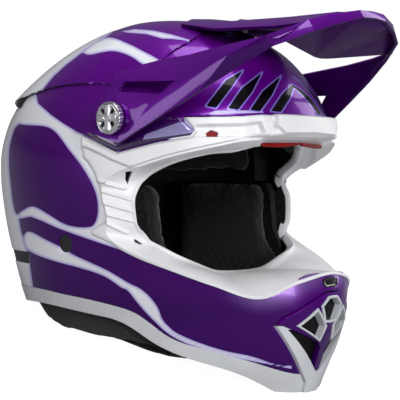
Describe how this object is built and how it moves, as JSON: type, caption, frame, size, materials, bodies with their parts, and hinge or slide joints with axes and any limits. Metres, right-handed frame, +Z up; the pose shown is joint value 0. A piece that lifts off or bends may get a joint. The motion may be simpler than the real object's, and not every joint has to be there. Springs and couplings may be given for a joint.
{
  "type": "motocross helmet",
  "caption": "Off-road full-face helmet: composite shell with chin bar, adjustable peak, framed eyeport, two-layer liner, removable cheek pads and D-ring chin strap.",
  "frame": {"origin": "centre of the footprint on the plane the helmet rests on", "axes": "+Z up, -Y towards the chin bar and peak, +X towards the wearer's left"},
  "size_m": [0.2584, 0.363, 0.3072],
  "materials": {
    "shell_paint": "candy purple clear-coated paint over composite laminate",
    "white_plastic": "satin white moulded plastic",
    "trim_plastic": "satin light grey plastic trim",
    "visor_plastic": "purple printed and clear-coated plastic",
    "black_plastic": "black moulded plastic, fine grain",
    "black_foam": "bead foam, matt black",
    "pad_fabric": "black textured knit over foam",
    "webbing": "black woven webbing",
    "steel": "polished stainless steel",
    "screw_alloy": "machined and brushed",
    "brass_insert": "turned",
    "red_plastic": "dark red moulded plastic",
    "red_webbing": "red woven tab",
    "slip_plastic": "low-friction natural plastic",
    "mesh_steel": "black mesh screen"
  },
  "bodies": {
    "shell_body": {"outer_shell": "shell_paint", "base_trim": "trim_plastic", "eyeport_frame": "white_plastic", "brow_moulding": "white_plastic", "brow_vent_inserts": "red_plastic", "chin_vent_frame": "white_plastic", "chin_grille": "shell_paint", "chin_vent_bezels": "white_plastic", "chin_vent_screen": "mesh_steel", "rear_exhaust_upper": "black_plastic", "rear_exhaust_lower": "black_plastic", "side_port_plugs": "black_plastic", "visor_nuts": "brass_insert", "outer_liner": "black_foam", "liner_slip_discs": "slip_plastic", "chin_bar_liner": "black_foam", "neck_roll": "pad_fabric", "neck_roll_plate": "black_plastic", "strap_anchors": "steel"},
    "visor_body": {"visor": "visor_plastic"},
    "screw_left_body": {"visor_screw_left": "screw_alloy"},
    "screw_right_body": {"visor_screw_right": "screw_alloy"},
    "crown_screw_body": {"visor_crown_screw": "screw_alloy"},
    "inner_liner_body": {"inner_liner": "black_foam", "crown_pad": "pad_fabric"},
    "cheek_left_body": {"cheek_pad_left": "pad_fabric", "cheek_core_left": "black_foam", "cheek_snaps_left": "black_plastic", "pull_tab_left": "red_webbing"},
    "cheek_right_body": {"cheek_pad_right": "pad_fabric", "cheek_core_right": "black_foam", "cheek_snaps_right": "black_plastic", "pull_tab_right": "red_webbing"},
    "strap_left_body": {"chin_strap_left": "webbing"},
    "strap_right_body": {"chin_strap_right": "webbing"},
    "ring_inner_body": {"d_ring_inner": "steel"},
    "ring_outer_body": {"d_ring_outer": "steel"}
  },
  "joints": [
    {"name": "visor_tilt", "type": "hinge", "parent": "shell_body", "child": "visor_body", "pos_m": [0, -0.02638, 0.19115], "axis": [1, 0, 0], "range_deg": [-3.5, 4]},
    {"name": "visor_screw_left_turn", "type": "hinge", "parent": "shell_body", "child": "screw_left_body", "pos_m": [0.11, -0.02638, 0.19115], "axis": [1, 0, 0], "continuous": true},
    {"name": "visor_screw_right_turn", "type": "hinge", "parent": "shell_body", "child": "screw_right_body", "pos_m": [-0.11, -0.02638, 0.19115], "axis": [1, 0, 0], "continuous": true},
    {"name": "crown_screw_turn", "type": "hinge", "parent": "shell_body", "child": "crown_screw_body", "pos_m": [0, -0.01665, 0.26945], "axis": [0, 0.0136, 0.9999], "continuous": true},
    {"name": "liner_yaw", "type": "hinge", "parent": "shell_body", "child": "inner_liner_body", "pos_m": [0, 0.02103, 0.14284], "axis": [0, 0.2233, 0.9748], "range_deg": [-6, 6]},
    {"name": "cheek_left_slide", "type": "slide", "parent": "shell_body", "child": "cheek_left_body", "axis": [0, -0.2233, -0.9748], "range_m": [0, 0.06]},
    {"name": "cheek_right_slide", "type": "slide", "parent": "shell_body", "child": "cheek_right_body", "axis": [0, -0.2233, -0.9748], "range_m": [0, 0.06]},
    {"name": "strap_left_swing", "type": "hinge", "parent": "shell_body", "child": "strap_left_body", "pos_m": [0.087, 0.05533, 0.0283], "axis": [0, 0.9748, -0.2233], "range_deg": [-1, 35]},
    {"name": "strap_right_swing", "type": "hinge", "parent": "shell_body", "child": "strap_right_body", "pos_m": [-0.087, 0.05533, 0.0283], "axis": [0, 0.9748, -0.2233], "range_deg": [-30, 1]},
    {"name": "ring_inner_swing", "type": "hinge", "parent": "strap_left_body", "child": "ring_inner_body", "pos_m": [0.0425, 0.0514, 0.01114], "axis": [0, 0.9748, -0.2233], "range_deg": [-10, 8]},
    {"name": "ring_outer_swing", "type": "hinge", "parent": "strap_left_body", "child": "ring_outer_body", "pos_m": [0.0467, 0.0514, 0.01114], "axis": [0, 0.9748, -0.2233], "range_deg": [-8, 38]}
  ]
}
